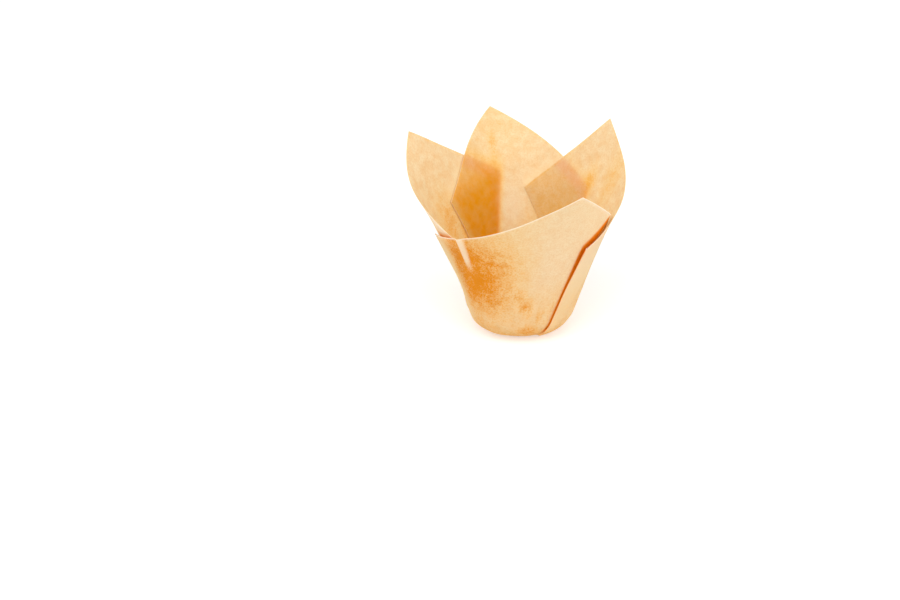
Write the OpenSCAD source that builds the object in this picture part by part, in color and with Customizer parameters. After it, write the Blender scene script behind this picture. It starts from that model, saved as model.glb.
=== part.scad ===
// Tulip baking liner, folded from one square sheet of paper.
// The middle of the sheet is the flat base. Its four corners stand up as petals.
// Four knife pleats take up the spare width and run round the cup like a pinwheel:
// each petal starts outside its clockwise neighbour and ends inside the next one.
// Azimuths are degrees round the cup from the front (-Y) towards the right (+X).
// A slant is a length up the paper from the line where base and wall would meet.

/* [Sheet] */
// Thickness of the paper, drawn thicker than a real sheet so that it is a sound solid
paper_t = 0.25; // [0.2:0.05:0.35]
// Inside diameter of a fold, from one layer's middle to the next
fold_d = 0.55; // [0.5:0.05:0.8]

/* [Base] */
// Radius at which the flat base and the wall would meet in a corner
base_r = 23; // [18:0.5:30]
// Radius of the rounding that takes the place of that corner
corner_r = 14.6; // [10:0.2:16]

/* [Wall lean in degrees] */
// Lean of the wall out from upright, at the front
lean_front = 9.5; // [8:0.1:22]
// The same at the front right
lean_front_right = 11.4; // [8:0.1:22]
// The same at the right
lean_right = 14.6; // [8:0.1:22]
// The same at the back right
lean_back_right = 15.6; // [8:0.1:22]
// The same at the back
lean_back = 20.8; // [8:0.1:22]
// The same at the back left
lean_back_left = 12.2; // [8:0.1:22]
// The same at the left
lean_left = 12.3; // [8:0.1:22]
// The same at the front left
lean_front_left = 9; // [8:0.1:22]

/* [Wall bow] */
// How far the wall bends outwards at the bow height, at the front
bow_front = 2.8; // [0:0.1:8]
// The same at the front right
bow_front_right = 1.9; // [0:0.1:8]
// The same at the right
bow_right = 2; // [0:0.1:8]
// The same at the back right
bow_back_right = 2.7; // [0:0.1:8]
// The same at the back
bow_back = 4.9; // [0:0.1:8]
// The same at the back left
bow_back_left = 5.3; // [0:0.1:8]
// The same at the left
bow_left = 7.2; // [0:0.1:8]
// The same at the front left
bow_front_left = 5.9; // [0:0.1:8]
// Slant at which the wall starts to bend outwards
bow_start = 11; // [5:1:18]
// Slant beyond that start at which the bow has the sizes above
bow_height = 46; // [36:1:60]

/* [Pleat at the front right] */
// Azimuth where its folds start at the base
fr_root = 24.4; // [16:0.2:32]
// Azimuth of its outer fold at the top
fr_outer = 48.2; // [40:0.2:56]
// Azimuth of its inner fold at the top
fr_inner = 89.6; // [82:0.2:98]
// Slant length of the outer fold
fr_outer_len = 53.8; // [46:0.2:62]
// Slant length of the inner fold
fr_inner_len = 58; // [46:0.2:62]
// How far its outer layer stands off its inner layer at the top
fr_stand = 1.6; // [1.6:0.1:3]
// How much further its mouth gapes at the free edge
fr_mouth = 0.8; // [0:0.1:3]

/* [Pleat at the back right] */
// Azimuth where its folds start at the base
br_root = 116.7; // [109:0.2:125]
// Azimuth of its outer fold at the top
br_outer = 128.8; // [121:0.2:137]
// Azimuth of its inner fold at the top
br_inner = 175.6; // [168:0.2:184]
// Slant length of the outer fold
br_outer_len = 59.6; // [46:0.2:62]
// Slant length of the inner fold
br_inner_len = 51.8; // [46:0.2:62]
// How far its outer layer stands off its inner layer at the top
br_stand = 1.6; // [1.6:0.1:3]
// How much further its mouth gapes at the free edge
br_mouth = 0.4; // [0:0.1:3]

/* [Pleat at the back left] */
// Azimuth where its folds start at the base
bl_root = 208; // [200:0.2:216]
// Azimuth of its outer fold at the top
bl_outer = 190.3; // [182:0.2:198]
// Azimuth of its inner fold at the top
bl_inner = 236.4; // [228:0.2:244]
// Slant length of the outer fold
bl_outer_len = 58.5; // [46:0.2:62]
// Slant length of the inner fold
bl_inner_len = 53.4; // [46:0.2:62]
// How far its outer layer stands off its inner layer at the top
bl_stand = 1.6; // [1.6:0.1:3]
// How much further its mouth gapes at the free edge
bl_mouth = 0.4; // [0:0.1:3]

/* [Pleat at the front left] */
// Azimuth where its folds start at the base
fl_root = 298.5; // [290:0.2:306]
// Azimuth of its outer fold at the top
fl_outer = 286; // [279:0.2:295]
// Azimuth of its inner fold at the top
fl_inner = 309.6; // [302:0.2:318]
// Slant length of the outer fold
fl_outer_len = 53.8; // [46:0.2:62]
// Slant length of the inner fold
fl_inner_len = 55; // [46:0.2:62]
// How far its outer layer stands off its inner layer at the top
fl_stand = 1.6; // [1.6:0.1:3]
// How much further its mouth gapes at the free edge
fl_mouth = 0.4; // [0:0.1:3]

/* [Petals] */
// Azimuth of the right petal's tip
right_tip = 130.9; // [119:0.5:143]
// Slant length of the right petal
right_len = 91.8; // [76:0.2:100]
// How far the right petal's tip bends out
right_flare = 0.1; // [-6:0.1:12]
// How far the free edge before the right tip bows in, or out where it is negative
right_edge_bow = -1.6; // [-2:0.1:2]
// Azimuth of the back petal's tip
back_tip = 190.2; // [178:0.5:202]
// Slant length of the back petal
back_len = 83.9; // [76:0.2:100]
// How far the back petal's tip bends out
back_flare = 9; // [-6:0.1:12]
// How far the free edge before the back tip bows in
back_edge_bow = 0.5; // [-2:0.1:2]
// Azimuth of the left petal's tip
left_tip = 246.1; // [234:0.5:258]
// Slant length of the left petal
left_len = 89.9; // [76:0.2:100]
// How far the left petal's tip bends out, or in where it is negative
left_flare = -2.3; // [-6:0.1:12]
// How far the free edge before the left tip bows in
left_edge_bow = -0.8; // [-2:0.1:2]
// Azimuth of the front petal's tip, past the full turn
front_tip = 385.4; // [373:0.5:397]
// Slant length of the front petal
front_len = 91; // [76:0.2:100]
// How far the front petal's tip bends out
front_flare = 4.5; // [-6:0.1:12]
// How far the free edge before the front tip bows in
front_edge_bow = 0; // [-2:0.1:2]
// Slant at which the petals start to bend
flare_start = 41; // [38:1:50]
// Slant beyond that start at which the flare has the sizes above
flare_height = 40; // [30:1:50]

/* [Ridge in the front petal] */
// Place of the ridge across the petal, as a share of its width from the outer fold
ridge_place = 0.15; // [0.12:0.001:0.19]
// Width of the ridge, as a share of the petal's width
ridge_width = 0.048; // [0.02:0.002:0.06]
// How far it stands out at the free edge
ridge_rise = 1.5; // [0:0.1:2.5]
// Slant at which it starts
ridge_start = 34; // [28:1:42]

/* [Hidden] */

// Wall: lean and bow at eight azimuths, 45 degrees apart from the front
lean_at = [
    lean_front, lean_front_right, lean_right, lean_back_right,
    lean_back, lean_back_left, lean_left, lean_front_left
];
bow_at = [
    bow_front, bow_front_right, bow_right, bow_back_right,
    bow_back, bow_back_left, bow_left, bow_front_left
];
turn = 360;
right_angle = 90;
knots = len(lean_at);
mean_lean = (lean_at * [for (lean = lean_at) 1]) / knots;
// Slant from the base corner down to the apex of the cone that the wall follows on average
apex = base_r / sin(mean_lean);

// Pleats in order round the cup
pleats = [
    [fr_root, fr_outer, fr_outer_len, fr_inner, fr_inner_len, fr_stand, fr_mouth],
    [br_root, br_outer, br_outer_len, br_inner, br_inner_len, br_stand, br_mouth],
    [bl_root, bl_outer, bl_outer_len, bl_inner, bl_inner_len, bl_stand, bl_mouth],
    [fl_root, fl_outer, fl_outer_len, fl_inner, fl_inner_len, fl_stand, fl_mouth]
];
function root_of(pleat) = pleat[0];
function outer_of(pleat) = [pleat[1], pleat[2]];
function inner_of(pleat) = [pleat[3], pleat[4]];
function stand_of(pleat) = pleat[5];
function mouth_of(pleat) = pleat[6];

// Petals: each starts at the pleat of the same number and ends at the next
tips = [
    [right_tip, right_len], [back_tip, back_len], [left_tip, left_len], [front_tip, front_len]
];
flares = [right_flare, back_flare, left_flare, front_flare];
edge_bows = [right_edge_bow, back_edge_bow, left_edge_bow, front_edge_bow];
n_petals = len(tips);
front_petal = n_petals - 1;

// Columns over a petal, an even number so that the tip has one, and over a middle layer
petal_steps = 18;
layer_steps = 5;
// Columns to each side of the ridge's line, and the share of its width kept free of others
ridge_steps = 3;
ridge_room = 0.6;
// Below its root a pleat is a plain band of the base, this many degrees to each side
band_side = 3;
band_step = 0.8;
// At the root the folds have come this near to each other, and cross just above it
root_side = 0.6;
// Slant over which a band draws together to its root
band_height = 11;
// Slants between which a pleat rises out of the base as a step, and the step folds over
rise_from = -7;
rise_to = 1;
fold_from = 0.5;
fold_to = 5;
// How far the outer layer stands off where a pleat starts: two folds and a little air
root_air = 0.2;
root_stand = 2 * fold_d + root_air;
// Shares of the stand in the step before it folds: inner fold, middle layer, outer fold
step_inner = 0.25;
step_middle = [0.36, 0.64];
step_outer = 0.75;
// Share of a petal's width over which it comes in from the outside to the inside
swing_from = 0.3;
swing_to = 0.7;
// Share of a petal's width over which a mouth gapes, and of its length
mouth_share = 0.35;
mouth_from = 0.55;

// Rows up the paper: on the base as shares of its radius, then over the corner,
// up the wall, and on to the free edge
base_shares = [0.7, 0.54];
corner_rows = [-9, -5.5, -2.5, 0.2, 1.2, 2.2, 3.4, 5.2, 8];
wall_rows = [13, 20, 28, 36, 43];
edge_steps = 7;

function smooth(x) = let (t = min(1, max(0, x))) t * t * (3 - 2 * t);
function mix(a, b, t) = a + (b - a) * t;
function above(x) = max(0, x);
function hump(x) = abs(x) < 1 ? (1 + cos(x * turn / 2)) / 2 : 0;
function arch(x) = 4 * x * (1 - x);

// A value given at even azimuths, made smooth all round the cup
function round_cup(values, azimuth) =
    let (
        place = azimuth / turn * knots,
        i = floor(place),
        t = place - i,
        a = values[(i - 1 + knots) % knots],
        b = values[i % knots],
        c = values[(i + 1) % knots],
        d = values[(i + 2) % knots]
    )
    b + 0.5 * t * (c - a + t * (2 * a - 5 * b + 4 * c - d + t * (3 * (b - c) + d - a)));

// Flare of the wall at an azimuth: the petals' own at their tips, and smooth between them
function flare_round(azimuth) =
    let (
        first = tips[0][0],
        round_az = azimuth < first ? azimuth + turn : azimuth,
        at = round_az < first + turn ? round_az : round_az - turn,
        q = len([for (tip = tips) if (tip[0] <= at) 1]) - 1,
        from = tips[q][0],
        to = q == front_petal ? first + turn : tips[q + 1][0]
    )
    mix(flares[q], flares[(q + 1) % n_petals], smooth((at - from) / (to - from)));

// Slant on the straight line between two points of the free edge, [azimuth, slant] each,
// as drawn on the cone laid flat
function straight_edge(from, to, azimuth) =
    let (
        k = sin(mean_lean),
        turn_all = (to[0] - from[0]) * k,
        turn_from = (azimuth - from[0]) * k,
        turn_to = (to[0] - azimuth) * k
    )
    sin(turn_all) / (sin(turn_to) / (apex + from[1]) + sin(turn_from) / (apex + to[1])) - apex;

// Azimuth on the straight line up the paper from a root to a point on the free edge
function straight_up(root, top, length, s) =
    mix(root, top, s / length * (apex + length) / (apex + s));

// A column holds: azimuth on the base, at the root and at the top; slant length;
// share of the stand where folded and in the step; fold radii outwards; side of a fold;
// stand, mouth and ridge
function petal_column(q, u) =
    let (
        here = pleats[q],
        next = pleats[(q + 1) % n_petals],
        lap = q == front_petal ? turn : 0,
        from = outer_of(here),
        to = inner_of(next) + [lap, 0],
        tip = tips[q],
        rising = u < 0.5,
        top = rising ? mix(from[0], tip[0], 2 * u) : mix(tip[0], to[0], 2 * u - 1),
        share = 1 - smooth((u - swing_from) / (swing_to - swing_from)),
        bowed_in = edge_bows[q] * arch(2 * u)
    )
    [
        mix(root_of(here) + band_side, root_of(next) + lap - band_side, u),
        mix(root_of(here) + root_side, root_of(next) + lap - root_side, u),
        top,
        rising ? straight_edge(from, tip, top) - bowed_in : straight_edge(tip, to, top),
        share, share, 0, 0,
        stand_of(here),
        mouth_of(here) * (1 - smooth(u / mouth_share)),
        q == front_petal ? hump((u - ridge_place) / (ridge_width / 2)) : 0
    ];

function layer_column(q, v) =
    let (
        pleat = pleats[(q + 1) % n_petals],
        lap = q == front_petal ? turn : 0,
        from = inner_of(pleat),
        to = outer_of(pleat),
        top = mix(from[0], to[0], v)
    )
    [
        root_of(pleat) + lap + (band_side - band_step) * (2 * v - 1),
        root_of(pleat) + lap + root_side * (2 * v - 1),
        top + lap,
        straight_edge(from, to, top),
        v, mix(step_middle[0], step_middle[1], v), 2 - 4 * v, 0,
        stand_of(pleat),
        mouth_of(pleat) * v * v,
        0
    ];

// The outermost line of a fold: side 1 is the inner fold, side -1 the outer one
function fold_column(q, side) =
    let (
        pleat = pleats[(q + 1) % n_petals],
        lap = q == front_petal ? turn : 0,
        inner = side > 0,
        top = inner ? inner_of(pleat) : outer_of(pleat)
    )
    [
        root_of(pleat) + lap - side * (band_side - band_step / 2),
        root_of(pleat) + lap - side * root_side,
        top[0] + lap,
        top[1],
        inner ? 0 : 1, inner ? step_inner : step_outer, side, side,
        stand_of(pleat),
        inner ? 0 : mouth_of(pleat),
        0
    ];

// Places of a petal's columns, as shares of its width
function petal_places(q) =
    let (even = [for (i = [0:petal_steps]) i / petal_steps])
    q != front_petal ? even : [
        for (u = even) if (u < ridge_place - ridge_room * ridge_width) u,
        for (i = [-ridge_steps:ridge_steps]) ridge_place + ridge_width / 2 * i / ridge_steps,
        for (u = even) if (u > ridge_place + ridge_room * ridge_width) u
    ];

columns = [
    for (q = [0:n_petals - 1])
        each [
            for (u = petal_places(q)) petal_column(q, u),
            fold_column(q, 1),
            for (i = [0:layer_steps]) layer_column(q, i / layer_steps),
            fold_column(q, -1)
        ]
];

// Middle of the paper at slant s of a column
function paper_point(col, s) =
    let (
        base_at = col[0], root_at = col[1], top_at = col[2], length = col[3],
        share = col[4], step_share = col[5], radii = col[6], side = col[7],
        stand_top = col[8], mouth = col[9], ridge = col[10],
        azimuth = s < 0
            ? mix(base_at, root_at, smooth(1 + s / band_height))
            : straight_up(root_at, top_at, length, s),
        lean = round_cup(lean_at, azimuth),
        sweep = right_angle - lean,
        run = corner_r * tan(sweep / 2),
        phi = sweep * min(1, max(0, (s + run) / (2 * run))),
        r0 = s > run ? base_r + s * sin(lean)
            : s < -run ? base_r + s
            : base_r - run + corner_r * sin(phi),
        z0 = s > run ? s * cos(lean) : corner_r * (1 - cos(phi)),
        bow = round_cup(bow_at, azimuth) * (above(s - bow_start) / bow_height) ^ 2,
        flare = flare_round(azimuth) * (above(s - flare_start) / flare_height) ^ 2,
        gape = mouth * smooth((s / length - mouth_from) / (1 - mouth_from)),
        rib = ridge_rise * ridge * smooth((s - ridge_start) / (length - ridge_start)),
        stand = mix(root_stand, stand_top, above(s) / length),
        risen = smooth((s - rise_from) / (rise_to - rise_from)),
        folded = smooth((s - fold_from) / (fold_to - fold_from)),
        off = risen * (mix(step_share, share, folded) * stand + folded * radii * fold_d / 2) + gape,
        r = r0 + bow + flare + rib + off * sin(phi),
        z = z0 - off * cos(phi) + paper_t / 2,
        ahead = folded * side * fold_d / 2
    )
    [
        r * sin(azimuth) + ahead * cos(azimuth),
        -r * cos(azimuth) + ahead * sin(azimuth),
        z
    ];

function rows_of(col) =
    let (
        last = wall_rows[len(wall_rows) - 1],
        length = col[3]
    )
    [
        for (share = base_shares) -share * base_r,
        each corner_rows, each wall_rows,
        for (k = [1:edge_steps]) mix(last, length, k / edge_steps)
    ];

grid = [for (col = columns) [for (s = rows_of(col)) paper_point(col, s)]];
n_cols = len(grid);
n_rows = len(grid[0]);
n_base = len(base_shares);

function unit(v) = v / norm(v);
function out_of_paper(i, j) =
    let (
        along = grid[(i + 1) % n_cols][j] - grid[(i + n_cols - 1) % n_cols][j],
        up = grid[i][min(j + 1, n_rows - 1)] - grid[i][max(j - 1, 0)]
    )
    j < n_base ? [0, 0, -1] : unit(cross(along, up));

function skin(side) = [
    for (i = [0:n_cols - 1])
        for (j = [0:n_rows - 1])
            grid[i][j] + side * paper_t / 2 * out_of_paper(i, j)
];

module liner() {
    skin_size = n_cols * n_rows;
    function outer(i, j) = (i % n_cols) * n_rows + j;
    function inner(i, j) = skin_size + outer(i, j);
    centre_out = 2 * skin_size;
    centre_in = centre_out + 1;
    top = n_rows - 1;
    faces = [
        for (i = [0:n_cols - 1])
            each [
                for (j = [0:top - 1])
                    each [
                        [outer(i, j), outer(i, j + 1), outer(i + 1, j + 1)],
                        [outer(i, j), outer(i + 1, j + 1), outer(i + 1, j)],
                        [inner(i, j), inner(i + 1, j + 1), inner(i, j + 1)],
                        [inner(i, j), inner(i + 1, j), inner(i + 1, j + 1)]
                    ],
                [outer(i + 1, top), outer(i, top), inner(i, top)],
                [outer(i + 1, top), inner(i, top), inner(i + 1, top)],
                [centre_out, outer(i, 0), outer(i + 1, 0)],
                [centre_in, inner(i + 1, 0), inner(i, 0)]
            ]
    ];
    color([0.96, 0.83, 0.62])
        polyhedron(
            points = concat(skin(1), skin(-1), [[0, 0, 0], [0, 0, paper_t]]),
            faces = faces
        );
}

liner();
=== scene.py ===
import math
import bpy
import numpy as np
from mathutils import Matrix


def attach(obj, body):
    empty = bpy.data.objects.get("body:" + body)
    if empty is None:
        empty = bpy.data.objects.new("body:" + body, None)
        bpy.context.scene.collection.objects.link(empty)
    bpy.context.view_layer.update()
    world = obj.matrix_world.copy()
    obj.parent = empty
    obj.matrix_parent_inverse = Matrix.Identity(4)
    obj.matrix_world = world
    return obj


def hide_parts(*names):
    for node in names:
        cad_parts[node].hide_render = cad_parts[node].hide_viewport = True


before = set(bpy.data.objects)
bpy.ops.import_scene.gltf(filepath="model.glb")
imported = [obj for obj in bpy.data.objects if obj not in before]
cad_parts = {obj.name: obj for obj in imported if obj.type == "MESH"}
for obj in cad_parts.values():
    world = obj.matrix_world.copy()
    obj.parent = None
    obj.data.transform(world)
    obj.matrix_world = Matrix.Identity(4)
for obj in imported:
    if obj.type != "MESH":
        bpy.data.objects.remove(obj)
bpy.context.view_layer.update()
scene = bpy.context.scene
mm = 0.001

cameraView = {
    "elevation": 30.4,      # degrees above the table
    "distance": 0.7246,     # metres
    "aside": -0.0329,       # metres to the left of the cup's axis
    "above": 0.0095,        # metres up in the picture
    "lens": 60.6,           # millimetres
    "sensor": 36,
    "farthest": 20,
}


def placeCamera(view):
    el = math.radians(view["elevation"])
    ahead = np.array([0, math.cos(el), -math.sin(el)])
    up = np.array([0, math.sin(el), math.cos(el)])
    right = np.array([1, 0, 0])
    lens = bpy.data.cameras.new("camera")
    lens.lens = view["lens"]
    lens.sensor_width = view["sensor"]
    lens.clip_end = view["farthest"]
    camera = bpy.data.objects.new("camera", lens)
    camera.location = view["aside"] * right + view["above"] * up - view["distance"] * ahead
    camera.rotation_euler = (math.pi / 2 - el, 0, 0)
    scene.collection.objects.link(camera)
    scene.camera = camera


placeCamera(cameraView)
print("camera placed")

# The liner is one square sheet with four petals and four pleats. An azimuth is in degrees round
# the cup, from the front towards the right. A slant is a length up the paper from the place where
# base and wall would meet without their round corner. These are the solid's sizes in millimetres,
# but here the paper and its folds are thinner, the pleats open out a little higher up and more
# gently, and the layers of the two pleats at the back lie closer together.
liner = {
    "paper": 0.2,
    "fold": 0.45,               # from one layer to the next at a fold
    "baseR": 23,
    "cornerR": 14.6,
    "lean": [9.5, 11.4, 14.6, 15.6, 20.8, 12.2, 12.3, 9],       # at eight azimuths from the front
    "bow": [2.8, 1.9, 2, 2.7, 4.9, 5.3, 7.2, 5.9],
    "bowStart": 11,
    "bowHeight": 46,
    "flareStart": 41,
    "flareHeight": 40,
    "ridge": {"place": 0.15, "width": 0.048, "rise": 1.5, "start": 34, "room": 0.6},
    "bandSide": 3,              # on the base, degrees from a pleat's middle to the petals beside it
    "bandStep": 0.8,            # of which its folds take this many on each side
    "bandHeight": 11,
    "rootSide": 0.6,            # the same at the root of the pleat
    "rootEase": 0.4,            # with its folds spread this far until they turn over
    "rootAir": 0.2,
    "stepShare": 0.36,          # share of the step at the root that each fold takes
    "rise": (-7, 1),            # slants between which a pleat rises out of the base
    "turnOver": (0.5, 5),       # and between which it folds over
    "swing": (0.3, 0.7),        # where across a petal it swings from outermost to innermost
    "mouthShare": 0.35,
    "mouthFrom": 0.55,
    "edgeBand": 0.5,
    "late": 1.5,                # the pleats start this much higher than the solid's
    "lateUpTo": 20,             # which is made up for by this slant
}
rightPetal, backPetal, leftPetal, frontPetal = range(4)
# Each fold has its azimuth and slant at the edge of the sheet
pleats = [
    dict(root=24.4, outer=(48.2, 53.8), inner=(89.6, 58.0), stand=1.6, mouth=0.8),
    dict(root=116.7, outer=(128.8, 59.6), inner=(175.6, 51.8), stand=1.3, mouth=0.3),
    dict(root=208.0, outer=(190.3, 58.5), inner=(236.4, 53.4), stand=1.0, mouth=0.2),
    dict(root=298.5, outer=(286.0, 53.8), inner=(309.6, 55.0), stand=1.6, mouth=0.4),
]
petals = [
    dict(tip=(130.9, 91.8), flare=0.1, edgeBow=-1.6),
    dict(tip=(190.2, 83.9), flare=9.0, edgeBow=0.5),
    dict(tip=(246.1, 89.9), flare=-2.3, edgeBow=-0.8),
    dict(tip=(385.4, 91.0), flare=4.5, edgeBow=0),
]
meshSteps = {
    "petal": 100, "layer": 10, "fold": 5, "ridge": 6,
    "base": 7, "baseShares": (0.93, 0.45), "corner": 34, "cornerSlants": (-9.5, 14), "wall": 54,
}


def smooth(x):
    t = np.clip(x, 0, 1)
    return t * t * (3 - 2 * t)


def ramp(x, low, high):
    return smooth((x - low) / (high - low))


def fade(x, low, high):
    return 1 - ramp(x, low, high)


def softStep(x, reach):
    return smooth(0.5 + x / (2 * reach))


def mix(a, b, t):
    return a + (b - a) * t


def sine(degrees):
    return np.sin(np.radians(degrees))


def cosine(degrees):
    return np.cos(np.radians(degrees))


meanLean = float(np.mean(liner["lean"]))
apex = liner["baseR"] / sine(meanLean)      # slant from the wall's own cone point to its foot


# A value that runs smoothly through those given at equal steps round the cup
def roundCup(values, azimuth):
    values = np.array(values, float)
    count = len(values)
    place = azimuth / (360 / count)
    i = np.floor(place).astype(int)
    t = place - i
    a, b, c, d = (values[(i + k) % count] for k in (-1, 0, 1, 2))
    return b + 0.5 * t * (c - a + t * (2 * a - 5 * b + 4 * c - d + t * (3 * (b - c) + d - a)))


def flareRound(azimuth):
    first = petals[rightPetal]["tip"][0]
    at = first + np.mod(azimuth - first, 360)
    out = np.zeros(np.shape(at))
    for q in range(4):
        low = petals[q]["tip"][0]
        high = petals[q + 1]["tip"][0] if q < frontPetal else first + 360
        now = mix(petals[q]["flare"], petals[(q + 1) % 4]["flare"], ramp(at, low, high))
        out = np.where((at >= low) & (at < high), now, out)
    return out


# The slant at an azimuth on the straight line between two places of the flat sheet
def straightEdge(start, end, azimuth):
    k = sine(meanLean)
    over = sine((end[0] - azimuth) * k) / (apex + start[1])
    over = over + sine((azimuth - start[0]) * k) / (apex + end[1])
    return sine((end[0] - start[0]) * k) / over - apex


# A petal's edge up to its tip bows in a little where edgeBow is above 0
def edgeBeforeTip(q, start, azimuth):
    tip = petals[q]["tip"]
    t = (azimuth - start[0]) / (tip[0] - start[0])
    return straightEdge(start, tip, azimuth) - petals[q]["edgeBow"] * 4 * t * (1 - t)


def pleated(s):
    return s - liner["late"] * fade(s, 0, liner["lateUpTo"])


def straightUp(root, top, length, s):
    return mix(root, top, s / length * (apex + length) / (apex + s))


# A column of points up the paper has an azimuth on the base, at the root and at the top, and a
# length. share and step say how far out it lies between a pleat's inner and outer layer, once
# folded over and at the root. radii and side go round a fold, outwards and along the cup.
def petalColumn(q, u):
    here, after = pleats[q], pleats[(q + 1) % 4]
    lap = 360 if q == frontPetal else 0
    start, tip, end = here["outer"], petals[q]["tip"], (after["inner"][0] + lap, after["inner"][1])
    if u < 0.5:
        top = mix(start[0], tip[0], 2 * u)
        length = edgeBeforeTip(q, start, top)
    else:
        top = mix(tip[0], end[0], 2 * u - 1)
        length = straightEdge(tip, end, top)
    ridge = liner["ridge"]
    x = (u - ridge["place"]) / (ridge["width"] / 2)
    share = fade(u, *liner["swing"])
    return dict(
        kind="petalStart" if u < 0.5 else "petalEnd", petal=q,
        base=mix(here["root"] + liner["bandSide"], after["root"] + lap - liner["bandSide"], u),
        root=mix(here["root"] + liner["rootSide"], after["root"] + lap - liner["rootSide"], u),
        ease=mix(liner["rootEase"], -liner["rootEase"], u),
        top=top, length=length, share=share, step=share, radii=0, side=0,
        stand=here["stand"], mouth=here["mouth"] * fade(u, 0, liner["mouthShare"]),
        rib=(1 + math.cos(math.pi * x)) / 2 if q == frontPetal and abs(x) < 1 else 0,
    )


def layerColumn(q, v):
    pleat = pleats[(q + 1) % 4]
    lap = 360 if q == frontPetal else 0
    top = mix(pleat["inner"][0], pleat["outer"][0], v)
    return dict(
        kind="layer", petal=q,
        base=pleat["root"] + lap + (liner["bandSide"] - liner["bandStep"]) * (2 * v - 1),
        root=pleat["root"] + lap + liner["rootSide"] * (2 * v - 1),
        ease=mix(liner["rootEase"], -liner["rootEase"], v),
        top=top + lap, length=straightEdge(pleat["inner"], pleat["outer"], top),
        share=v, step=mix(liner["stepShare"], 1 - liner["stepShare"], v), radii=2 - 4 * v, side=0,
        stand=pleat["stand"], mouth=pleat["mouth"] * v * v, rib=0,
    )


# The angle goes from 0 where the fold starts to 180 where it ends
def foldColumn(q, inner, angle):
    pleat = pleats[(q + 1) % 4]
    lap = 360 if q == frontPetal else 0
    side = 1 if inner else -1
    top, length = pleat["inner"] if inner else pleat["outer"]
    turned, evenly = (1 - cosine(angle)) / 2, angle / 180
    eased = evenly ** 2 if inner else (1 - evenly) ** 2
    spread = mix(-1, 1, evenly)
    middle = liner["bandSide"] - liner["bandStep"] / 2
    return dict(
        kind="innerFold" if inner else "outerFold", petal=q,
        base=pleat["root"] + lap - side * middle + spread * liner["bandStep"] / 2,
        root=pleat["root"] + lap - side * liner["rootSide"], ease=spread * liner["rootEase"],
        top=top + lap, length=length, share=0 if inner else 1,
        step=liner["stepShare"] * eased if inner else 1 - liner["stepShare"] * eased,
        radii=2 * turned if inner else 2 * turned - 2, side=side * sine(angle),
        stand=pleat["stand"], mouth=0 if inner else pleat["mouth"], rib=0,
    )


def petalPlaces(q):
    even = np.arange(meshSteps["petal"] + 1) / meshSteps["petal"]
    if q != frontPetal:
        return even
    ridge, n = liner["ridge"], meshSteps["ridge"]
    near = ridge["place"] + ridge["width"] / 2 * np.arange(-n, n + 1) / n
    away = np.abs(even - ridge["place"]) > ridge["room"] * ridge["width"]
    return np.sort(np.concatenate([even[away], near]))


def linerColumns():
    made = []
    turns = 180 * (np.arange(meshSteps["fold"]) + 1) / (meshSteps["fold"] + 1)
    for q in range(4):
        made += [petalColumn(q, u) for u in petalPlaces(q)]
        made += [foldColumn(q, True, angle) for angle in turns]
        made += [layerColumn(q, v) for v in np.linspace(0, 1, meshSteps["layer"] + 1)]
        made += [foldColumn(q, False, angle) for angle in turns]
    return {name: np.array([column[name] for column in made])[:, None] for name in made[0]}


# Gentle unevenness of the paper, the same for layers that lie on each other
relief = {
    # turns round the cup, climb in each mm, phase, amount, and a sway with its turns and phase
    "sag": 0.35,
    "sagRise": (10, 35),
    "sagWaves": [
        (3, 0.12, 0.6, 0.5, 0, 0, 0), (5, -0.16, 2.1, 0.35, 0, 0, 0), (9, 0.23, 4.0, 0.15, 0, 0, 0),
    ],
    "wrinkle": 0.45,
    "wrinkleRise": (2, 10),
    "wrinkleReach": 26,
    "wrinkleWaves": [
        (23, 0.05, 0, 0.5, 1.2, 5, 1.3), (37, -0.07, 0, 0.3, 1.6, 3, 0), (13, 0, 0.8, 0.2, 0, 0, 0),
    ],
    "reachMean": 0.75,
    "reachWaves": [(7, 0, 0.4, 0.25, 0, 0, 0), (17, 0, 2.0, 0.2, 0, 0, 0)],
    # start and end (azimuth, slant), half width, depth
    "creases": [
        ((371.0, 34.0), (361.5, 14.0), 2.4, 0.45),
        ((385.5, 26.0), (376.0, 7.0), 2.2, 0.4),
        ((352.0, 30.0), (349.0, 8.0), 2.6, 0.35),
        ((394.0, 30.0), (388.0, 12.0), 2.4, 0.25),
        ((333.0, 48.0), (322.0, 28.0), 3.0, 0.45),
        ((346.0, 54.0), (336.0, 34.0), 3.0, 0.3),
    ],
    "creaseEnds": 0.4,          # share of a crease's length over which each end fades
    "lowestSlant": -18,         # below it the base counts as no smaller
}


def waveSum(waves, a, s):
    total = 0
    for turns, climb, phase, amount, sway, swayTurns, swayPhase in waves:
        angle = turns * a + climb * s + phase
        total = total + amount * np.sin(angle + sway * np.sin(swayTurns * a + swayPhase))
    return total


# How far in degrees an azimuth lies past another, from -180 to 180
def degreesPast(azimuth, start):
    return np.mod(azimuth - start + 180, 360) - 180


def radiusAt(s, lowest):
    return liner["baseR"] + np.clip(s, lowest, None) * sine(meanLean)


def creaseMask(azimuth, s, crease):
    (startAzimuth, startSlant), (endAzimuth, endSlant), width, _ = crease
    radius = radiusAt(s, relief["lowestSlant"])
    x, y = np.radians(degreesPast(azimuth, startAzimuth)) * radius, s - startSlant
    endX, endY = np.radians(endAzimuth - startAzimuth) * radius, endSlant - startSlant
    along = np.clip((x * endX + y * endY) / (endX ** 2 + endY ** 2), 0, 1)
    away = np.hypot(x - along * endX, y - along * endY)
    ends = smooth(along / relief["creaseEnds"]) * smooth((1 - along) / relief["creaseEnds"])
    return ends * fade(away, 0, width)


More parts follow.
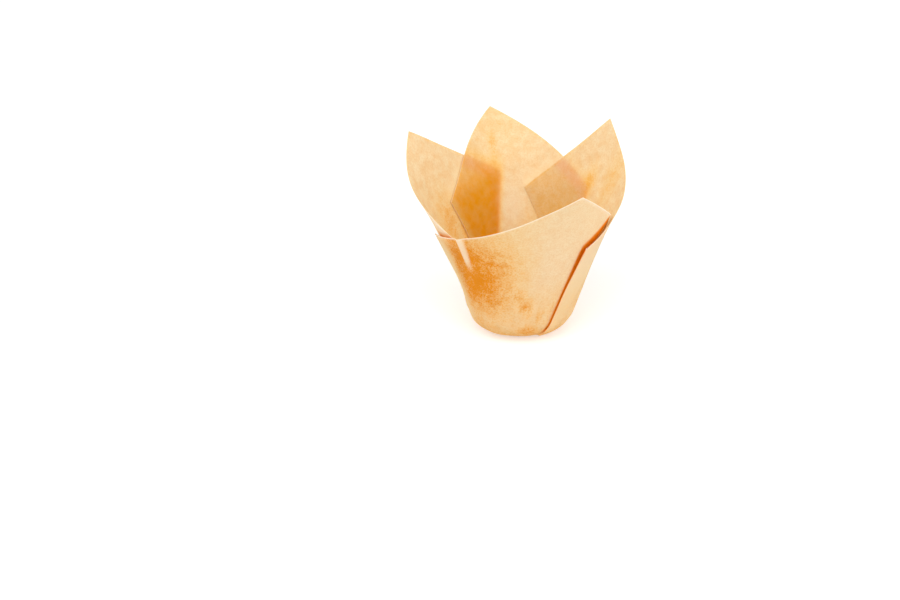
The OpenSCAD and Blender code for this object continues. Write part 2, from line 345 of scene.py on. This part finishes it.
def paperRelief(azimuth, s):
    a = np.radians(azimuth)
    sag = relief["sag"] * waveSum(relief["sagWaves"], a, s) * ramp(s, *relief["sagRise"])
    reach = relief["wrinkleReach"] * (relief["reachMean"] + waveSum(relief["reachWaves"], a, s))
    band = ramp(s, *relief["wrinkleRise"]) * fade(s, reach / 3, reach)
    dents = relief["wrinkle"] * band * (0.5 + 0.5 * waveSum(relief["wrinkleWaves"], a, s)) ** 2
    for crease in relief["creases"]:
        dents = dents + crease[3] * creaseMask(azimuth, s, crease)
    return sag - dents


# The flat base, the round corner and the leaning wall, with the angle that the paper has turned up
def bareCup(s, lean):
    base, corner = liner["baseR"], liner["cornerR"]
    sweep = 90 - lean
    run = corner * np.tan(np.radians(sweep / 2))
    turned = sweep * np.clip((s + run) / (2 * run), 0, 1)
    inCorner = base - run + corner * sine(turned)
    r = np.where(s > run, base + s * sine(lean), np.where(s < -run, base + s, inCorner))
    z = np.where(s > run, s * cosine(lean), corner * (1 - cosine(turned)))
    return r, z, turned


# 0 up to start, and from there a parabola that is 1 at this height above it
def curling(s, start, height):
    return (np.clip(s - start, 0, None) / height) ** 2


def paperPoints(columns, s):
    ridge, length, ease = liner["ridge"], columns["length"], columns["ease"]
    up = pleated(s)
    folded = ramp(up, *liner["turnOver"])
    azimuth = np.where(
        up < 0, mix(columns["base"], columns["root"] + ease, smooth(1 + up / liner["bandHeight"])),
        straightUp(columns["root"], columns["top"], length, up) + ease * (1 - folded),
    )
    r, z, turned = bareCup(s, roundCup(liner["lean"], azimuth))
    bow = roundCup(liner["bow"], azimuth) * curling(s, liner["bowStart"], liner["bowHeight"])
    flare = flareRound(azimuth) * curling(s, liner["flareStart"], liner["flareHeight"])
    ribbed = ridge["rise"] * columns["rib"] * ramp(s, ridge["start"], length)
    gape = columns["mouth"] * ramp(s / length, liner["mouthFrom"], 1)
    standing = mix(2 * liner["fold"] + liner["rootAir"], columns["stand"], np.clip(up, 0, None) / length)
    standing = mix(columns["step"], columns["share"], folded) * standing
    off = ramp(up, *liner["rise"]) * (standing + folded * columns["radii"] * liner["fold"] / 2)
    off = off + gape + paperRelief(azimuth, s)
    r = r + bow + flare + ribbed + off * sine(turned)
    z = z - off * cosine(turned) + liner["paper"] / 2
    ahead = folded * columns["side"] * liner["fold"] / 2
    x = r * sine(azimuth) + ahead * cosine(azimuth)
    y = -r * cosine(azimuth) + ahead * sine(azimuth)
    return np.stack([x, y, z], -1), azimuth


# Painted shade where layers lie behind the paper and hold back the light through it, and in the
# slits and pockets between them. Lengths are in mm, and where there are four values, they are for
# the pleat before each petal or for the end of each petal, as named.
layering = {
    "reach": 60,                            # degrees to each side of a pleat's root
    "foldsPast": 12,                        # its folds are followed this far past the edge
    "soft": 2.0, "edgeSoft": 5.0, "middleSoft": 8.0,
    "foldShift": 1, "edgeShift": 2, "middleShift": 3,
    "depth": [0.75, 0.42, 1.0, 0.6],        # for the pleat before each petal
    "besideFold": 4.5,
    "showsBefore": 0.5, "slitSoft": 0.5, "slitUnder": 3, "slitFade": 2, "edgeEnd": 1.5,
    "pocket": [0, 0, 0.2, 1],               # for the end of each petal
    "pocketDepth": (0.6, 3.4), "pocketBelow": 6, "openedDepth": 9, "opened": 1.3,
    "start": (-2, 6),
}


# How much of the other layers lies on each point, and the slit beside each outer fold, from 0 to 1:
# masks for painted shade
def layersOver(columns, s, azimuth):
    petal = columns["petal"]
    inPleat = np.isin(columns["kind"], ["innerFold", "layer", "outerFold"])
    total, slit = np.zeros(s.shape), np.zeros(s.shape)
    perDegree = np.radians(1) * radiusAt(s, 0)
    up = np.clip(pleated(s), 0.1, None)
    soft, edgeSoft, reach = layering["soft"], layering["edgeSoft"], layering["reach"]
    for p in range(4):
        after = (p + 1) % 4
        lap = 360 if p == frontPetal else 0
        root, outer, inner = (pleats[after][name] for name in ("root", "outer", "inner"))
        tipBefore = (petals[p]["tip"][0] - lap, petals[p]["tip"][1])
        tipAfter = petals[after]["tip"]
        outerLine, innerLine = (
            straightUp(root, top, length, np.minimum(up, length + layering["foldsPast"]))
            for top, length in (outer, inner)
        )
        for turn in (-360, 0, 360):
            az = azimuth + turn - lap
            near = np.abs(az - root) < reach
            if not near.any():
                continue
            # petal p ends inside, and behind it lie the middle layer and the start of the next petal
            ending = near & (petal == p) & ~inPleat
            starting = near & (petal == after) & ~inPleat
            between = near & (petal == p) & inPleat
            pastOuter = (az - outerLine) * perDegree
            beforeInner = (innerLine - az) * perDegree
            endEdge = straightEdge(tipBefore, inner, np.clip(az, tipBefore[0], inner[0]))
            middleEdge = straightEdge(inner, outer, np.clip(az, outer[0], inner[0]))
            startEdge = edgeBeforeTip(after, outer, np.clip(az, outer[0], tipAfter[0]))
            underEnd = softStep(endEdge + layering["edgeShift"] - s, edgeSoft)
            underMiddle = softStep(middleEdge + layering["middleShift"] - s, layering["middleSoft"])
            underStart = softStep(startEdge + layering["middleShift"] - s, edgeSoft)
            onOuter = softStep(pastOuter + layering["foldShift"], soft)
            onInner = softStep(beforeInner, soft)

            lying = onOuter * (underStart + underMiddle) / 2
            lying = lying * (0.5 + 0.5 * smooth(beforeInner / layering["besideFold"]))
            total = np.where(ending, np.maximum(total, layering["depth"][after] * lying), total)
            behind = onInner * (underEnd + underMiddle * onOuter) / 2
            total = np.where(starting, np.maximum(total, behind), total)
            total = np.where(between, np.maximum(total, (underEnd + underStart) / 2), total)

            shown = softStep(pastOuter + layering["showsBefore"], layering["slitSoft"])
            ended = fade(pastOuter, layering["slitUnder"], layering["slitUnder"] + layering["slitFade"])
            belowEdge = softStep(startEdge - s, layering["edgeEnd"])
            slit = np.where(ending, np.maximum(slit, shown * ended * belowEdge), slit)
            across = np.clip((az - outer[0]) / (inner[0] - outer[0]), 0, 1)
            high = layering["pocket"][p] * mix(*layering["pocketDepth"], across)
            pocket = softStep(startEdge + high - s, layering["edgeEnd"])
            pocket = pocket * softStep(s - startEdge + layering["pocketBelow"], layering["slitSoft"])
            slit = np.where(ending, np.maximum(slit, shown * pocket), slit)
    started = ramp(s, *layering["start"])
    return total * started, slit * started


# Patches of painted shade, where the paper is painted deeper in colour, and of painted light, where
# it is painted paler: azimuth, slant, reach round the cup in degrees, reach up it, amount
shadePatchesOutside = [
    (356, 30, 9, 6, 0.75), (362, 24, 8, 6, 0.85), (367, 22, 4.5, 8, 0.7), (376.5, 16, 4, 6.5, 0.55),
    (367, 6.5, 15, 6, 0.85), (330, 1, 50, 5, 0.5), (385, 1, 45, 5, 0.5),
]
shadePatchesInside = [
    (244, 44, 13, 13, 0.6), (231, 37, 9, 12, 0.55), (192, 70, 2.5, 6, 0.45), (112, 68, 6, 12, 0.35),
    (129, 62, 4, 7, 0.6), (150, 38, 22, 10, 0.35), (190, 77, 16, 14, 0.15),
]
# painted sheen highlight where the left petal faces the light
paintedSheenOutside = [(296, 63, 14, 8, 0.75)]      # on the left petal
# painted light low on the back petal, against the shade in the hollow
paintedLightInside = [(183, 42, 9, 10, 0.35)]       # on the back petal
# Painted shade on the front petal, from its outer fold to past its middle
frontShade = {
    "rise": (290, 308), "least": 0.12, "fall": (315, 382),
    "upperFade": (48, 68), "upperLost": 0.5, "lowerFade": (10, 32), "lowerKept": 0.35, "strength": 1.2,
}
# Amounts of the other marks, and the slants or lengths in mm over which they come and go: a painted
# highlight on the crest, the rim and the inner rim, painted light on the inner folds, and painted
# shade in the creases, at the foot, low inside the cup, along the inner rim and in the slits
marks = {
    "crest": 0.6, "crestGain": 1.4, "crestRise": (5, 16),
    "crease": 0.4,
    "foot": [(0.5, 2, 14), (0.25, 16, 46)],
    "lowInside": 0.14, "lowBack": 0.03, "lowFade": (10, 50),
    "alongEdge": 0.3, "alongWidth": 1.6, "rimWidth": 0.8, "rimInside": 0.35,
    "paleFold": 0.5, "behindFold": 0.3, "climb": (1, 7),
    "low": (0, 16),
}


def patchAmounts(places, azimuth, s):
    total = np.zeros(s.shape)
    for placeAzimuth, slant, reachRound, reachUp, amount in places:
        x = degreesPast(azimuth, placeAzimuth) / reachRound
        total = np.maximum(total, amount * np.exp(-x ** 2 - ((s - slant) / reachUp) ** 2))
    return total


def frontShadeAmount(azimuth, s):
    rising = mix(frontShade["least"], 1, ramp(azimuth, *frontShade["rise"]))
    upper = 1 - frontShade["upperLost"] * ramp(s, *frontShade["upperFade"])
    lower = mix(frontShade["lowerKept"], 1, ramp(s, *frontShade["lowerFade"]))
    return frontShade["strength"] * rising * fade(azimuth, *frontShade["fall"]) * upper * lower


# What the material reads at each point, as a pair for the outside and the inside of the paper
def paperMarks(columns, rows, azimuth):
    petal, kind, radii = columns["petal"], columns["kind"], columns["radii"]
    innerFold, outerFold = kind == "innerFold", kind == "outerFold"
    inPleat = innerFold | outerFold | (kind == "layer")
    belowRim = columns["length"] - rows
    climbed = ramp(rows, *marks["climb"])
    layers, slit = layersOver(columns, rows, azimuth)
    # round the inner fold the painted overlap shade gives way to that of the layer behind
    innermost = np.where(kind == "petalEnd", 1.0, np.where(innerFold, 1 - radii / 2, 0))

    # painted highlight on the ridge's crest, which also clears the painted shade there
    crestRise = [liner["ridge"]["start"] + slant for slant in marks["crestRise"]]
    crestHighlight = marks["crest"] * smooth(marks["crestGain"] * columns["rib"]) * ramp(rows, *crestRise)
    # painted shade in the creases
    creased = np.max([creaseMask(azimuth, rows, crease) for crease in relief["creases"]], 0)
    # painted shade on the front petal
    shadedFront = ((petal == frontPetal) & ~inPleat) * frontShadeAmount(azimuth, rows)
    # painted shade on the outside: shade patches, creases and the front petal's shade
    outerShade = np.maximum(patchAmounts(shadePatchesOutside, azimuth, rows), marks["crease"] * creased)
    outerShade = np.maximum(outerShade, shadedFront) * (1 - crestHighlight)
    # painted shade towards the foot
    for amount, full, gone in marks["foot"]:
        outerShade = np.maximum(outerShade, amount * fade(rows, full, gone))
    # painted shade low inside the cup
    lowInside = np.where(petal == backPetal, marks["lowBack"], marks["lowInside"])
    lowInside = lowInside * fade(rows, *marks["lowFade"])
    # painted shade in a band along the inner rim
    alongEdge = marks["alongEdge"] * fade(belowRim, 0, marks["alongWidth"])
    # painted shade on the inside: shade patches, the low inside and the band along the rim
    innerShade = np.maximum(np.maximum(patchAmounts(shadePatchesInside, azimuth, rows), lowInside), alongEdge)

    # painted highlights: round the rim, on the ridge's crest and the sheen on the left petal
    outerHighlight = np.maximum(fade(belowRim, 0, marks["rimWidth"]), crestHighlight)
    outerHighlight = np.maximum(outerHighlight, patchAmounts(paintedSheenOutside, azimuth, rows) * (petal == leftPetal))
    # painted highlight on the inner rim, painted light on the inner folds and low on the back petal
    innerLight = np.maximum(marks["rimInside"] * (belowRim == 0), marks["paleFold"] * innerFold * climbed)
    innerLight = np.maximum(innerLight, patchAmounts(paintedLightInside, azimuth, rows) * (petal == backPetal))

    # painted shade: the slit beside each outer fold and the mouth of a pocket are painted dark
    # for the shade between the layers
    behindFold = np.where(outerFold, smooth(-marks["behindFold"] - radii), 0)
    pocket = np.array(layering["pocket"])[petal] * inPleat
    opened = pocket * smooth(layering["opened"] - belowRim / layering["openedDepth"])
    outerGapShade = np.maximum(behindFold, slit * innermost) * climbed
    # low: painted shade towards the foot
    none, low = np.zeros(rows.shape), fade(rows, *marks["low"])
    return {
        "gapShade": (outerGapShade, np.maximum(outerFold * climbed, opened)),
        # painted shade where other layers lie behind, on the inside of the paper
        "overlapShade": (none, layers * innermost),
        # painted light: layers with others behind them are painted paler
        "backed": (layers * (1 - innermost),) * 2,
        "paintedShade": (outerShade, innerShade),
        "edge": (outerHighlight, innerLight),
        "low": (low, low),
        "inside": (none, none + 1),
    }


def slantRows(length):
    base = -liner["baseR"] * np.linspace(*meshSteps["baseShares"], meshSteps["base"])
    corner = np.linspace(*meshSteps["cornerSlants"], meshSteps["corner"])
    fixed = np.broadcast_to(np.concatenate([base, corner]), (len(length), len(base) + len(corner)))
    up = np.arange(1, meshSteps["wall"]) / (meshSteps["wall"] - 1)
    wall = mix(corner[-1], length - liner["edgeBand"], up)
    return np.concatenate([fixed, wall, length], 1)


# Both sides of the paper, column by column, and then the middle of the base, outside and inside
def paperSkins(middle, rows):
    along = np.roll(middle, -1, 0) - np.roll(middle, 1, 0)
    first, last = middle[:, 1:2] - middle[:, :1], middle[:, -1:] - middle[:, -2:-1]
    up = np.concatenate([first, middle[:, 2:] - middle[:, :-2], last], 1)
    out = np.cross(along, up)
    out /= np.linalg.norm(out, axis=-1, keepdims=True)
    out[rows < -liner["baseR"] / 2] = (0, 0, -1)
    half = liner["paper"] / 2
    centre = [[0, 0, 0], [0, 0, liner["paper"]]]
    outside, inside = middle + out * half, middle - out * half
    points = np.concatenate([outside.reshape(-1, 3), inside.reshape(-1, 3), centre])
    points[:, 2] = np.maximum(points[:, 2], 0)
    return points


def paperFaces(columnCount, rowCount):
    skin = columnCount * rowCount
    i, j = np.meshgrid(np.arange(columnCount), np.arange(rowCount - 1), indexing="ij")
    a, d = i * rowCount + j, (i + 1) % columnCount * rowCount + j
    outside = np.stack([d, d + 1, a + 1, a], -1).reshape(-1, 4)
    inside = np.stack([a, a + 1, d + 1, d], -1).reshape(-1, 4) + skin
    foot = np.arange(columnCount) * rowCount
    nextFoot = np.roll(foot, -1)
    rim, nextRim = foot + rowCount - 1, nextFoot + rowCount - 1
    edge = np.stack([nextRim, nextRim + skin, rim + skin, rim], -1)
    baseOutside = np.stack([np.full(columnCount, 2 * skin), nextFoot, foot], -1)
    baseInside = np.stack([np.full(columnCount, 2 * skin + 1), foot + skin, nextFoot + skin], -1)
    parts = (outside, inside, edge, baseOutside, baseInside)
    return [face for part in parts for face in part.tolist()]


def sharpenRim(mesh, skin, rowCount):
    ends = np.zeros(len(mesh.edges) * 2, int)
    mesh.edges.foreach_get("vertices", ends)
    ends = ends.reshape(-1, 2)
    onRim = (ends < 2 * skin) & (ends % rowCount == rowCount - 1)
    mesh.edges.foreach_set("use_edge_sharp", onRim.all(1).tolist())


def makePaper():
    columns = linerColumns()
    rows = slantRows(columns["length"])
    middle, azimuth = paperPoints(columns, rows)
    mesh = bpy.data.meshes.new("paper")
    mesh.from_pydata((paperSkins(middle, rows) * mm).tolist(), [], paperFaces(*rows.shape))
    mesh.update()
    mesh.polygons.foreach_set("use_smooth", [True] * len(mesh.polygons))
    sharpenRim(mesh, rows.size, rows.shape[1])
    for name, (outer, inner) in paperMarks(columns, rows, azimuth).items():
        store = mesh.attributes.new(name, "FLOAT", "POINT")
        values = np.concatenate([outer.reshape(-1), inner.reshape(-1), [outer[0, 0], inner[0, 0]]])
        store.data.foreach_set("value", values.astype(np.float32))
    made = bpy.data.objects.new("paper", mesh)
    scene.collection.objects.link(made)
    return made


paper = makePaper()
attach(paper, "root")
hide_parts("liner")
print("paper folded:", len(paper.data.polygons), "faces")

bakingPaper = {
    "single": (0.96, 0.80, 0.585),      # one layer, by reflected light
    "cloud": (0.88, 0.61, 0.29),        # its thicker patches
    "speck": (0.82, 0.59, 0.29),        # its fine grain
    "warm": (1.0, 0.67, 0.05),          # halfway to the two colours below
    "overlapShade": (0.94, 0.45, 0.003),        # painted shade of three layers, seen from inside the cup
    # painted shade, the colour of the shade patches, creases, foot and front petal's shade
    "paintedShade": (0.84, 0.335, 0.005),
    "backed": (1.0, 0.855, 0.59),       # painted light on a layer with others behind it, from outside
    "gapShade": (0.93, 0.36, 0.01),       # painted shade between the layers of a pleat
    # painted highlight and painted light, for the rim, the crest, the sheen and the inner folds
    "edge": (1.0, 0.96, 0.88),
    "glow": (0.94, 0.86, 0.60),         # one layer, by light from behind
    # noise scale per metre, detail, roughness, gain and shift
    "clouds": (260, 4, 0.55, 3.2, -1.2),
    "grain": (1300, 2, 0.6, 3.4, -1.4),
    "cloudAmount": (0.25, 0.3),         # outside, and what the inside adds
    "speckAmount": 0.45,
    # painted shade towards the foot, in the colour of the thicker patches
    "lowAmount": 0.45,
    "shadeAmount": (0.6, 0.3, 0.5),     # even, by the clouds and by the grain
    "deepAmount": (0.87, 0.15),         # even, and by the clouds
    "through": 0.40,                    # share of light that passes through
    "roughness": 0.75,
    "specular": 0.25,
    "bump": 0.5,
    "bumpHeight": 0.0002,
}


def feed(tree, socket, value):
    if isinstance(value, bpy.types.NodeSocket):
        tree.links.new(value, socket)
    elif isinstance(value, tuple):
        socket.default_value = (*value, 1)
    else:
        socket.default_value = value


def addNode(tree, kind, place, **inputs):
    made = tree.nodes.new("ShaderNode" + kind)
    made.location = place
    for name, value in inputs.items():
        feed(tree, made.inputs[name.replace("_", " ")], value)
    return made


def mixColour(tree, place, factor, low, high):
    made = addNode(tree, "Mix", place)
    made.data_type = "RGBA"
    for index, value in ((0, factor), (6, low), (7, high)):
        feed(tree, made.inputs[index], value)
    return made.outputs[2]


def mathNode(tree, operation, place, *values, clamp=False):
    made = addNode(tree, "Math", place)
    made.operation = operation
    made.use_clamp = clamp
    for socket, value in zip(made.inputs, values):
        feed(tree, socket, value)
    return made.outputs[0]


def mixShaders(tree, place, factor, first, second):
    made = addNode(tree, "MixShader", place)
    for socket, value in zip(made.inputs, (factor, first.outputs[0], second.outputs[0])):
        feed(tree, socket, value)
    return made.outputs[0]


def attribute(tree, name, place):
    made = addNode(tree, "Attribute", place)
    made.attribute_name = name
    return made.outputs["Fac"]


# Noise, and the same with more contrast between 0 and 1
def paperNoise(tree, place, where, texture):
    scale, detail, roughness, gain, shift = texture
    noise = addNode(tree, "TexNoise", place, Vector=where, Scale=scale, Detail=detail, Roughness=roughness)
    level = noise.outputs["Fac"]
    beside = (place[0] + 200, place[1])
    return level, mathNode(tree, "MULTIPLY_ADD", beside, level, gain, shift, clamp=True)


# One colour laid over another, coat by coat
def coated(tree, colour, coats, place):
    for step, (factor, coat) in enumerate(coats):
        colour = mixColour(tree, (place[0] + 180 * step, place[1]), factor, colour, coat)
    return colour


def paperMaterial(look):
    material = bpy.data.materials.new("bakingPaper")
    material.use_nodes = True
    tree = material.node_tree
    tree.nodes.clear()
    where = addNode(tree, "TexCoord", (-1600, 0)).outputs["Object"]
    _, cloudy = paperNoise(tree, (-1400, 200), where, look["clouds"])
    grain, speckled = paperNoise(tree, (-1400, -100), where, look["grain"])
    names = ("overlapShade", "backed", "paintedShade", "edge", "low", "inside", "gapShade")
    overlapShade, backed, paintedShade, edge, low, inside, gapShade = (
        attribute(tree, name, (-1400, 400 + 200 * row)) for row, name in enumerate(names)
    )

    outsideClouds, insideClouds = look["cloudAmount"]
    cloudAmount = mathNode(tree, "MULTIPLY_ADD", (-1000, 350), inside, insideClouds, outsideClouds)
    cloudFactor = mathNode(tree, "MULTIPLY", (-800, 250), cloudy, cloudAmount)
    speckFactor = mathNode(tree, "MULTIPLY", (-800, 50), speckled, look["speckAmount"])
    lowFactor = mathNode(tree, "MULTIPLY", (-800, 900), low, look["lowAmount"])
    even, byClouds, byGrain = look["shadeAmount"]
    patchy = mathNode(tree, "MULTIPLY_ADD", (-1000, -200), cloudy, byClouds, even)
    speckly = mathNode(tree, "MULTIPLY_ADD", (-800, -300), speckled, byGrain, patchy)
    # painted shade, mottled by the clouds and the grain
    shadeFactor = mathNode(tree, "MULTIPLY", (-600, -200), paintedShade, speckly, clamp=True)
    even, byClouds = look["deepAmount"]
    mottled = mathNode(tree, "MULTIPLY_ADD", (-800, 500), cloudy, byClouds, even)
    deepFactor = mathNode(tree, "MULTIPLY", (-600, 500), overlapShade, mottled, clamp=True)
    shadeColour = mixColour(tree, (-400, -400), shadeFactor, look["warm"], look["paintedShade"])
    deepColour = mixColour(tree, (-400, 700), deepFactor, look["warm"], look["overlapShade"])

    fibres = [(cloudFactor, look["cloud"]), (speckFactor, look["speck"])]
    # coats of painted light and shade laid over the paper's own colour
    coats = [
        (backed, look["backed"]), (shadeFactor, shadeColour), (deepFactor, deepColour),
        (gapShade, look["gapShade"]), (edge, look["edge"]),
    ]
    # the paper's own fibres, then painted shade towards the foot, under the coats
    body = coated(tree, look["single"], fibres + [(lowFactor, look["cloud"])] + coats, (-400, 300))
    glow = coated(tree, look["glow"], fibres + coats, (-400, 0))
    bump = addNode(
        tree, "Bump", (1000, -300), Strength=look["bump"], Distance=look["bumpHeight"], Height=grain,
    )
    principled = addNode(
        tree, "BsdfPrincipled", (1300, 300), Base_Color=body, Roughness=look["roughness"],
        Specular_IOR_Level=look["specular"], Normal=bump.outputs[0],
    )
    through = addNode(tree, "BsdfTranslucent", (1300, -100), Color=glow)
    both = mixShaders(tree, (1600, 200), look["through"], principled, through)
    addNode(tree, "OutputMaterial", (1800, 200), Surface=both)
    return material


paper.data.materials.append(paperMaterial(bakingPaper))
print("paper material made")

studio = {
    "table": 0.85,              # its own colour
    "tableGlow": 0.38,          # added for the viewer alone
    "tableSize": 2.4,
    "tableDrop": 0.0001,
    "world": 0.53,
    "lamps": [
        # name, place, aimed at, size, watts
        ("lampRight", (0.9, -0.6, 0.5), (0, 0, 0.05), 1.2, 7.15),
        ("lampLeft", (-0.8, -0.6, 0.65), (0, 0, 0.05), 1.2, 6.05),
        ("lampAbove", (-0.1, -0.4, 1.1), (0, 0, 0.05), 0.8, 2.85),
    ],
}
white = (1, 1, 1)


def aimLamp(name, place, target, size, watts):
    light = bpy.data.lights.new(name, "AREA")
    light.size = size
    light.energy = watts
    lamp = bpy.data.objects.new(name, light)
    direction = np.array(place) - np.array(target)
    lamp.location = place
    flat = math.hypot(direction[0], direction[1])
    lamp.rotation_euler = (math.atan2(flat, direction[2]), 0, math.atan2(direction[0], -direction[1]))
    scene.collection.objects.link(lamp)


# 1 where the camera sees the surface, also in gloss or through glass, and 0 where it lights something
def seenByViewer(tree):
    path = addNode(tree, "LightPath", (-600, 300)).outputs
    seen = mathNode(tree, "MAXIMUM", (-400, 300), path["Is Camera Ray"], path["Is Glossy Ray"])
    return mathNode(tree, "MAXIMUM", (-200, 300), seen, path["Is Transmission Ray"])


def tableMaterial():
    material = bpy.data.materials.new("tableTop")
    material.use_nodes = True
    tree = material.node_tree
    tree.nodes.clear()
    plain = addNode(tree, "BsdfDiffuse", (-400, 0), Color=(studio["table"],) * 3)
    glow = addNode(tree, "Emission", (-400, -200), Strength=studio["tableGlow"])
    bright = addNode(tree, "AddShader", (-200, -100))
    for socket, shader in zip(bright.inputs, (plain, glow)):
        feed(tree, socket, shader.outputs[0])
    chosen = mixShaders(tree, (0, 0), seenByViewer(tree), plain, bright)
    addNode(tree, "OutputMaterial", (200, 0), Surface=chosen)
    return material


def makeTable():
    half = studio["tableSize"] / 2
    corners = [(-half, -half, 0), (half, -half, 0), (half, half, 0), (-half, half, 0)]
    mesh = bpy.data.meshes.new("table")
    mesh.from_pydata(corners, [], [(0, 1, 2, 3)])
    mesh.materials.append(tableMaterial())
    table = bpy.data.objects.new("table", mesh)
    table.location = (0, 0, -studio["tableDrop"])
    scene.collection.objects.link(table)


def makeWorld():
    world = bpy.data.worlds.new("white")
    scene.world = world
    world.use_nodes = True
    tree = world.node_tree
    tree.nodes.clear()
    lit = addNode(tree, "Background", (-200, 0), Color=white, Strength=studio["world"])
    shown = addNode(tree, "Background", (-200, -150), Color=white, Strength=1)
    chosen = mixShaders(tree, (0, 0), seenByViewer(tree), lit, shown)
    addNode(tree, "OutputWorld", (200, 0), Surface=chosen)


makeTable()
makeWorld()
for lamp in studio["lamps"]:
    aimLamp(*lamp)
scene.view_settings.view_transform = "Standard"
print("studio set")
